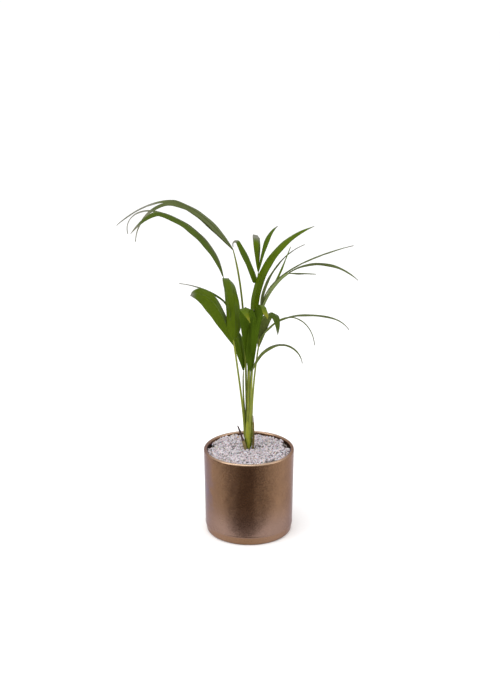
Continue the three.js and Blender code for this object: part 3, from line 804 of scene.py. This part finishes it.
def trace(start, bend, tip=None):
    """The model's rule for a stalk or leaf: it sets out at its rise and bends to its fall, late where its
    ease is high, turning in heading as it goes. Gives the points, the way travelled and both angles."""
    point = np.array(start, float)
    rows = []
    travelled = 0.0
    rise, heading = bend.rise, bend.heading
    for stage in (bend, tip) if tip else (bend,):
        step = stage.length * MM / BEND_STEPS
        for i in range(1 if rows else 0, BEND_STEPS + 1):
            if i:
                middle = (i - 0.5) / BEND_STEPS
                elevation = rise + (stage.fall - rise) * middle ** stage.ease
                point = point + step * direction(elevation, heading + stage.turn * middle)
                travelled += step
            share = i / BEND_STEPS
            elevation = rise + (stage.fall - rise) * share ** stage.ease
            rows.append((*point, travelled, elevation, heading + stage.turn * share))
        rise = stage.fall
        heading += stage.turn
    return np.array(rows)


def at_distance(path, distances):
    """The rows of a traced path at these distances along it."""
    return np.column_stack([np.interp(distances, path[:, 3], column) for column in path.T])


def section_frames(rows, rolls):
    """The side and up directions of a section at each row, turned about the path by its roll."""
    sides, ups = [], []
    for (_, _, _, _, elevation, heading), roll in zip(rows, np.radians(rolls)):
        along = direction(elevation, heading)
        level = direction(0, heading + 90)
        over = np.cross(along, level)
        side = level * math.cos(roll) + over * math.sin(roll)
        sides.append(side)
        ups.append(np.cross(along, side))
    return np.array(sides), np.array(ups)


def frond_path(frond):
    """The traced path of a frond's stalk, from the top of its stem to the end of its rib."""
    return trace(np.array([*frond["foot"], 0]) * MM + [0, 0, STEM_TOP + CLEAR], frond["stalk"])


def stalk_line(frond, number):
    """The stalk's line, sunk into the sheath below the model's foot and flared where it wraps the cane."""
    path = frond_path(frond)
    length = path[-1, 3]
    rib = frond.get("rib_radius", STALK_TIP_RADIUS / MM) * MM
    distances = np.linspace(0, length, int(length / STALK_STEP))
    rows = at_distance(path, distances)
    sunk = rows[:1].copy()
    sunk[0, :3] -= direction(rows[0, 4], rows[0, 5]) * STALK_SINK
    rows = np.concatenate([sunk, rows])
    distances = np.concatenate([[0], distances + STALK_SINK])
    share = np.clip((distances - STALK_SINK) / length, 0, 1)
    flare = STALK_FLARE * np.clip(1 - distances / FLARE_REACH, 0, 1) ** 1.5
    thin = 1 - 0.45 * np.clip((share - 0.9) / 0.1, 0, 1)
    girth = (STALK_RADIUS + (rib - STALK_RADIUS) * share) * thin + flare
    return limb(rows, section_frames(rows, np.zeros(len(rows))), girth, distances, share, number)


stalk_finishes = {tone: sheath_finish("stalk_" + tone, *colours) for tone, colours in STALK_TONES.items()}
for number, frond in enumerate(FRONDS):
    tree = tube_tree("stalk_skin", lambda tree: [
        (stalk_finishes[frond["stalk_tone"]], None),
        (stalk_finishes["leafy"], kept(tree, "share").above(frond.get("leafy_from", 2)))])
    stalk = grown("stalk_" + frond["name"], tree, line_mesh("stalk_line", [stalk_line(frond, number)]),
                  Ribs=6, Rib=0.03, Channel=0.28, Flat=0.88, Rough=0.05)
    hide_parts("petiole_" + frond["name"])
    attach(stalk, "root")


# Leaves. Thin leathery blades, folded along a raised midrib and finely pleated along their veins, satin
# above and duller below. They fade before their tips, which dry to grey, brown or olive.
LEAF_ROOT_WIDTH = 2.2 * MM
LEAF_FOLD = 20
LEAF_STEP = 2.2 * MM
LEAF_COLUMNS = 19
LEAF_END_SHARE = 0.07
LEAF_THICKNESS = 0.45 * MM
MIDRIB = 0.35 * MM
MIDRIB_WIDTH = 0.45 * MM
LEAF_ROUGHNESS = 0.36
UNDERSIDE_ROUGHNESS = 0.55
LEAF_TONES = {
    "fresh": ((0.050, 0.082, 0.0008, 1), (0.076, 0.118, 0.0015, 1)),
    "deep": ((0.040, 0.074, 0.0008, 1), (0.062, 0.100, 0.0015, 1)),
    "grey": ((0.060, 0.076, 0.021, 1), (0.090, 0.109, 0.037, 1)),
    "dull_backed": ((0.041, 0.066, 0.005, 1), (0.062, 0.092, 0.009, 1)),
}
UNDERSIDE = ((0.040, 0.074, 0.0015, 1), (0.062, 0.106, 0.004, 1))
UNDERSIDE_GREY = ((0.080, 0.106, 0.020, 1), (0.130, 0.158, 0.042, 1))
FADED_GREY = (0.16, 0.165, 0.12, 1)
FADED_YELLOW = (0.165, 0.19, 0.012, 1)
TIP_TONES = {
    "grey": (0.7, (0.13, 0.115, 0.11, 1), (0.26, 0.24, 0.24, 1)),
    "brown": (0.7, (0.10, 0.055, 0.02, 1), (0.26, 0.13, 0.05, 1)),
    "olive": (0.6, (0.085, 0.070, 0.015, 1), (0.16, 0.13, 0.035, 1)),
}


def leaf_finish(name, low, high, roughness, gloss=0.07):
    """A leaf's skin: close parallel veins, with the green paler along some of them and in soft patches. It
    fades before the dry tip, to yellow where the tip is brown and to grey elsewhere."""
    material, tree, shader, place = new_material(name)
    where = put(tree, "ShaderNodeAttribute", attribute_name="place").outputs["Vector"]
    veins = noise(tree, where, 3.2, 2.0, 0.5, (1, 0.012, 1))
    threads = noise(tree, where, 11.0, 2.0, 0.5, (1, 0.02, 1))
    patches = noise(tree, place, 45, 4.0, 0.55)
    green = blend(tree, veins * 0.5 + patches * 0.5, low, high, (0.36, 0.64))
    share, dry, end = [field_of(tree, "ShaderNodeAttribute", output="Fac", attribute_name=kind)
                       for kind in ("share", "dry", "end")]
    fade = ranged(tree, share - dry + (veins - 0.5) * 0.06, 0.0, 0.9, (-0.08, 0.0))
    faded = mixed(tree, end.above(0.5) * end.below(1.5), FADED_GREY, FADED_YELLOW)
    finish(tree, shader, {
        "Base Color": mixed(tree, fade * fade, green, faded), "Specular IOR Level": gloss,
        "Roughness": ranged(tree, patches, roughness - 0.05, roughness + 0.08)})
    bump(tree, shader, veins * 0.7 + threads * 0.3, 0.22 * MM, 0.55)
    return material


def blade_tree(finishes):
    """Skins lines with a thin closed blade, worked out point by point from its line, width and fold."""
    tree, lines, given = new_tree(
        "blade", Columns=LEAF_COLUMNS, Fold=math.tan(math.radians(LEAF_FOLD)), Thickness=LEAF_THICKNESS,
        Midrib=MIDRIB, Pleats=5.0, Pleat=0.10 * MM, Wave=0.3 * MM)
    columns = given["Columns"]
    ring = made(tree, "CurvePrimitiveCircle", "Curve", Resolution=columns * 2.0)
    index = field_of(tree, "GeometryNodeInputIndex")
    under = (index - columns + 0.5).above(0.0)
    step = index - under * columns
    forth = step / (columns - 1.0) * 2.0 - 1.0
    even = forth * (under * -2.0 + 1.0)
    ring = stored(tree, ring, "across", even * even.size() ** 0.35)
    ring = stored(tree, ring, "layer", under * -2.0 + 1.0)
    path = made(tree, "MeshToCurve", "Curve", Mesh=lines)
    skin = made(tree, "CurveToMesh", "Mesh", Curve=path, Profile_Curve=ring, Fill_Caps=True)
    across, layer, half, share, along, number, tone, dry, end = [kept(tree, name) for name in (
        "across", "layer", "half", "share", "along", "number", "tone", "dry", "end")]
    spine, side, up = [kept(tree, name, "FLOAT_VECTOR") for name in ("spine", "side", "up")]
    reach = across.size()
    drop = reach ** 1.12 * half * given["Fold"] * -1.0
    ridge = (across * half).bell(MIDRIB_WIDTH) * given["Midrib"] * layer
    body = (share * math.pi).sine()
    pleat = (across * given["Pleats"] * math.pi).cosine() * given["Pleat"] * body
    side_phase = across.above(0.0) * 2.1 + number * 1.7
    wave = (along * 210.0 + side_phase).sine() * reach ** 2.0 * given["Wave"] * body
    thickness = layer * given["Thickness"] * 0.5 * (reach ** 2.0 * -0.5 + 1.0)
    position = spine + side * (across * half) + up * (drop + ridge + pleat + wave + thickness)
    skin = made(tree, "SetPosition", Geometry=skin, Position=position)
    skin = made(tree, "SetShadeSmooth", Geometry=skin)
    place = joined_vector(tree, across * half * 1000.0, along * 1000.0, number)
    skin = stored(tree, skin, "place", place, "FLOAT_VECTOR")
    ragged = field_of(tree, "ShaderNodeTexNoise", {"Vector": place, "Scale": 0.8}) - 0.5
    dried = (share + ragged * 0.05 - dry).above(0.0)
    back = layer.below(-0.5)
    picks = [(finishes[name], tone.above(k - 0.5)) for k, name in enumerate(LEAF_TONES)]
    picks += [(finishes["underside"], back), (finishes["underside_grey"], back * tone.above(1.5))]
    picks += [(finishes["tip_" + name], dried * end.above(k - 0.5)) for k, name in enumerate(TIP_TONES)]
    painted(tree, skin, picks)
    return tree


def breadth(share, peak, taper):
    """Share of a leaf's full width at a share of its length, by the model's rule: it swells from its root
    up to its peak, then narrows to its end, early where its taper is low."""
    swell = np.sin(np.minimum(1, share / peak) * math.pi / 2)
    past = np.clip((share - peak) / (1 - peak), 0, 1)
    return swell * (1 - past ** taper * (1 - LEAF_END_SHARE))


def leaf_line(leaf, start, number):
    """A leaf's line with its half width, its fold's directions and its finish at each point."""
    path = trace(start, leaf.bend, leaf.tip)
    length = path[-1, 3]
    distances = np.linspace(0, length, int(length / LEAF_STEP))
    share = distances / length
    rows = at_distance(path, distances)
    first, last = leaf.rolls
    side, up = section_frames(rows, first + (last - first) * share)
    root = LEAF_ROOT_WIDTH * (1 - share)
    width = root + (leaf.width * MM - root) * breadth(share, leaf.peak, leaf.taper)
    point = np.clip((1 - share) / 0.03, 0.12, 1)
    same = {"number": number, "tone": list(LEAF_TONES).index(leaf.tone), "dry": leaf.dry,
            "end": list(TIP_TONES).index(leaf.end)}
    return {
        "spine": rows[:, :3],
        "side": side,
        "up": up,
        "half": width / 2 * point,
        "along": distances,
        "share": share,
        **{key: np.full(len(rows), float(value)) for key, value in same.items()},
    }


leaf_finishes = {tone: leaf_finish("leaf_" + tone, *colours, LEAF_ROUGHNESS)
                 for tone, colours in LEAF_TONES.items()}
leaf_finishes["underside"] = leaf_finish("leaf_underside", *UNDERSIDE, UNDERSIDE_ROUGHNESS, 0.04)
leaf_finishes["underside_grey"] = leaf_finish(
    "leaf_underside_grey", *UNDERSIDE_GREY, UNDERSIDE_ROUGHNESS, 0.04)
for tone, (roughness, low, high) in TIP_TONES.items():
    leaf_finishes["tip_" + tone] = leaf_finish("leaf_tip_" + tone, low, high, roughness)
blade = blade_tree(leaf_finishes)
number = 0
for frond in FRONDS:
    path = frond_path(frond)
    lines = []
    names = ["frond_" + frond["name"]]
    for leaf in frond["leaves"]:
        start = at_distance(path, [leaf.at * path[-1, 3]])[0, :3]
        lines.append(leaf_line(leaf, start, number))
        names.append(f"{names[0]}_{leaf.name}_tip")
        number += 1
    leaves = grown("leaves_" + frond["name"], blade, line_mesh("leaf_lines", lines))
    stood_for = [node for node in frame["nodes"] if node in names]
    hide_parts(*stood_for)
    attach(leaves, "root")


# Dried sheaths. Two old leaf sheaths still stand at the foot of the clump, dry and papery: a dark thin
# spike that leans to the left, and an olive-brown one at the right whose end has gone grey.
DRIED_STEPS = 40
DRIED_SHEATHS = [
    {"name": "left", "foot": (-2.4, -0.6), "radii": (3.4, 0.9), "tones": ("pale", "dark"), "change": 0.5,
     "bend": Bend(46, 80, 68, 1.0, 180, 0)},
    {"name": "right", "foot": (4.6, 2.6), "radii": (2.1, 0.8), "tones": ("olive", "grey"), "change": 0.85,
     "bend": Bend(57, 86, 94, 1.5, 10, 0)},
]
DRIED_TONES = {
    "pale": ((0.13, 0.10, 0.04, 1), (0.26, 0.20, 0.09, 1)),
    "dark": ((0.03, 0.018, 0.018, 1), (0.09, 0.055, 0.05, 1)),
    "olive": ((0.09, 0.07, 0.02, 1), (0.19, 0.14, 0.05, 1)),
    "grey": ((0.22, 0.18, 0.18, 1), (0.42, 0.36, 0.37, 1)),
}


def dried_line(sheath, number):
    """The line of a dried sheath, which curls in as it narrows."""
    foot = np.array([*sheath["foot"], 0]) * MM + [0, 0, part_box("dried_sheath_" + sheath["name"])[0].z]
    path = trace(foot, sheath["bend"])
    distances = np.linspace(0, path[-1, 3], DRIED_STEPS)
    rows = at_distance(path, distances)
    share = distances / distances[-1]
    low, high = (r * MM for r in sheath["radii"])
    girth = (low + (high - low) * share) * (1 + 0.12 * np.sin(share * 17 + number))
    return limb(rows, section_frames(rows, 40 * np.sin(share * 5)), girth, distances, share, number)


def dried_finishes(sheath):
    """Its lower finish all over, and its upper one past the change."""
    lower, upper = (sheath_finish("dried_" + tone, *DRIED_TONES[tone], 0.85) for tone in sheath["tones"])
    return lambda tree: [(lower, None), (upper, kept(tree, "share").above(sheath["change"]))]


for number, sheath in enumerate(DRIED_SHEATHS):
    tree = tube_tree("dried_skin", dried_finishes(sheath))
    lines = line_mesh("dried_line", [dried_line(sheath, number)])
    dried = grown("dried_husk_" + sheath["name"], tree, lines,
                  Ribs=4, Rib=0.1, Channel=0.2, Flat=0.85, Rough=0.2)
    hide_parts("dried_sheath_" + sheath["name"])
    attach(dried, "root")


# Studio. A pale floor under even white light, with a soft box above and one at each side. For
# reflections the floor thins out in front of the pot, in fine tapering teeth, so the glaze goes dark
# there by degrees as it does over a real table's end.
FLOOR_HALF = 40.0
FLOOR_COLOUR = (0.98, 0.98, 0.98, 1)
SKY_COLOUR = (1.0, 0.995, 1.0, 1)
SKY_STRENGTH = 1.06
BELOW_COLOUR = (0.14, 0.10, 0.08, 1)
TOOTH = 6 * MM
TOOTH_MIDDLE = 0.33
# Across, and then how far forward the teeth start, narrow to their middle share and end, in metres.
EDGE_LINE = [(-0.36, 0.05, -0.235, -0.42), (-0.25, 0.05, -0.235, -0.42), (-0.165, -0.015, -0.175, -0.4),
             (-0.14, -0.035, -0.14, -0.36), (-0.11, -0.055, -0.115, -0.34), (-0.078, -0.069, -0.097, -0.18),
             (-0.054, -0.07, -0.088, -0.11), (-0.01, -0.07, -0.076, -0.095), (0.023, -0.083, -0.09, -0.13),
             (0.034, -0.086, -0.095, -0.2), (0.05, -0.089, -0.105, -0.32), (0.075, -0.09, -0.112, -0.3),
             (0.1, -0.088, -0.13, -0.48), (0.135, -0.072, -0.155, -0.6), (0.16, -0.06, -0.205, -0.75),
             (0.205, -0.035, -0.29, -0.85), (0.26, -0.01, -0.36, -0.95), (0.4, -0.01, -0.4, -1.0)]
SOFT_BOXES = [
    ("box_above", (-0.3, -0.3, 1.9), (1.2, 1.2), 9),
    ("box_left", (-1.5, -0.9, 1.0), (0.9, 1.4), 10),
    ("box_right", (1.5, -0.5, 0.9), (0.9, 1.4), 6),
]
BOX_TARGET = (0, 0, 0.2)
CAMERA_PLACE = (0.00135, -1.4505, 0.7241)
CAMERA_PITCH = 18
CAMERA_LENS = 60.38
CAMERA_SENSOR = 36


def table_edge():
    """The points of the toothed edge, from far left to far right."""
    rows = np.array(EDGE_LINE)
    edge = [(-FLOOR_HALF, EDGE_LINE[0][1])]
    for left in np.arange(rows[0, 0], rows[-1, 0], TOOTH):
        for step, column in ((0, 1), (1 - TOOTH_MIDDLE, 2), (1, 3), (1 + TOOTH_MIDDLE, 2)):
            x = float(left) + step * TOOTH / 2
            edge.append((x, float(np.interp(x, rows[:, 0], rows[:, column]))))
    return edge + [(FLOOR_HALF, EDGE_LINE[-1][1])]


def floor_piece(name, side, material):
    """The floor on one side of the toothed edge, as a row of quads that run away from it."""
    near = [(x, y, 0) for x, y in table_edge()]
    far = [(x, side * FLOOR_HALF, 0) for x, y, z in near]
    count = len(near)
    mesh = bpy.data.meshes.new(name)
    faces = [(i, i + 1, count + i + 1, count + i)[::side] for i in range(count - 1)]
    mesh.from_pydata(near + far, [], faces)
    mesh.materials.append(material)
    floor = bpy.data.objects.new(name, mesh)
    bpy.context.scene.collection.objects.link(floor)
    return floor


floor_finish, tree, shader, place = new_material("pale_floor")
finish(tree, shader, {"Base Color": FLOOR_COLOUR, "Roughness": 0.9, "Specular IOR Level": 0.0})
floor_piece("floor_back", 1, floor_finish)
front_floor = floor_piece("floor_front", -1, floor_finish)
front_floor.visible_glossy = False

world = bpy.data.worlds.new("studio")
bpy.context.scene.world = world
world.use_nodes = True
tree = world.node_tree
tree.nodes.clear()
view = put(tree, "ShaderNodeTexCoord").outputs["Generated"]
height = field_of(tree, "ShaderNodeSeparateXYZ", {0: view}, "Z")
sky = blend(tree, height * 0.5 + 0.5, BELOW_COLOUR, SKY_COLOUR, (0.45, 0.47))
background = put(tree, "ShaderNodeBackground", {"Color": sky, "Strength": SKY_STRENGTH})
put(tree, "ShaderNodeOutputWorld", {"Surface": background.outputs[0]})

for name, place, size, power in SOFT_BOXES:
    light = bpy.data.lights.new(name, "AREA")
    light.shape = "RECTANGLE"
    light.size, light.size_y = size
    light.energy = power
    lamp = bpy.data.objects.new(name, light)
    lamp.location = place
    lamp.rotation_euler = (Vector(BOX_TARGET) - Vector(place)).to_track_quat("-Z", "Y").to_euler()
    bpy.context.scene.collection.objects.link(lamp)

camera_data = bpy.data.cameras.new("camera")
camera_data.lens = CAMERA_LENS
camera_data.sensor_width = CAMERA_SENSOR
camera = bpy.data.objects.new("camera", camera_data)
camera.location = CAMERA_PLACE
camera.rotation_euler = (math.radians(90 - CAMERA_PITCH), 0, 0)
bpy.context.scene.collection.objects.link(camera)
bpy.context.scene.camera = camera
bpy.context.scene.view_settings.view_transform = "Standard"
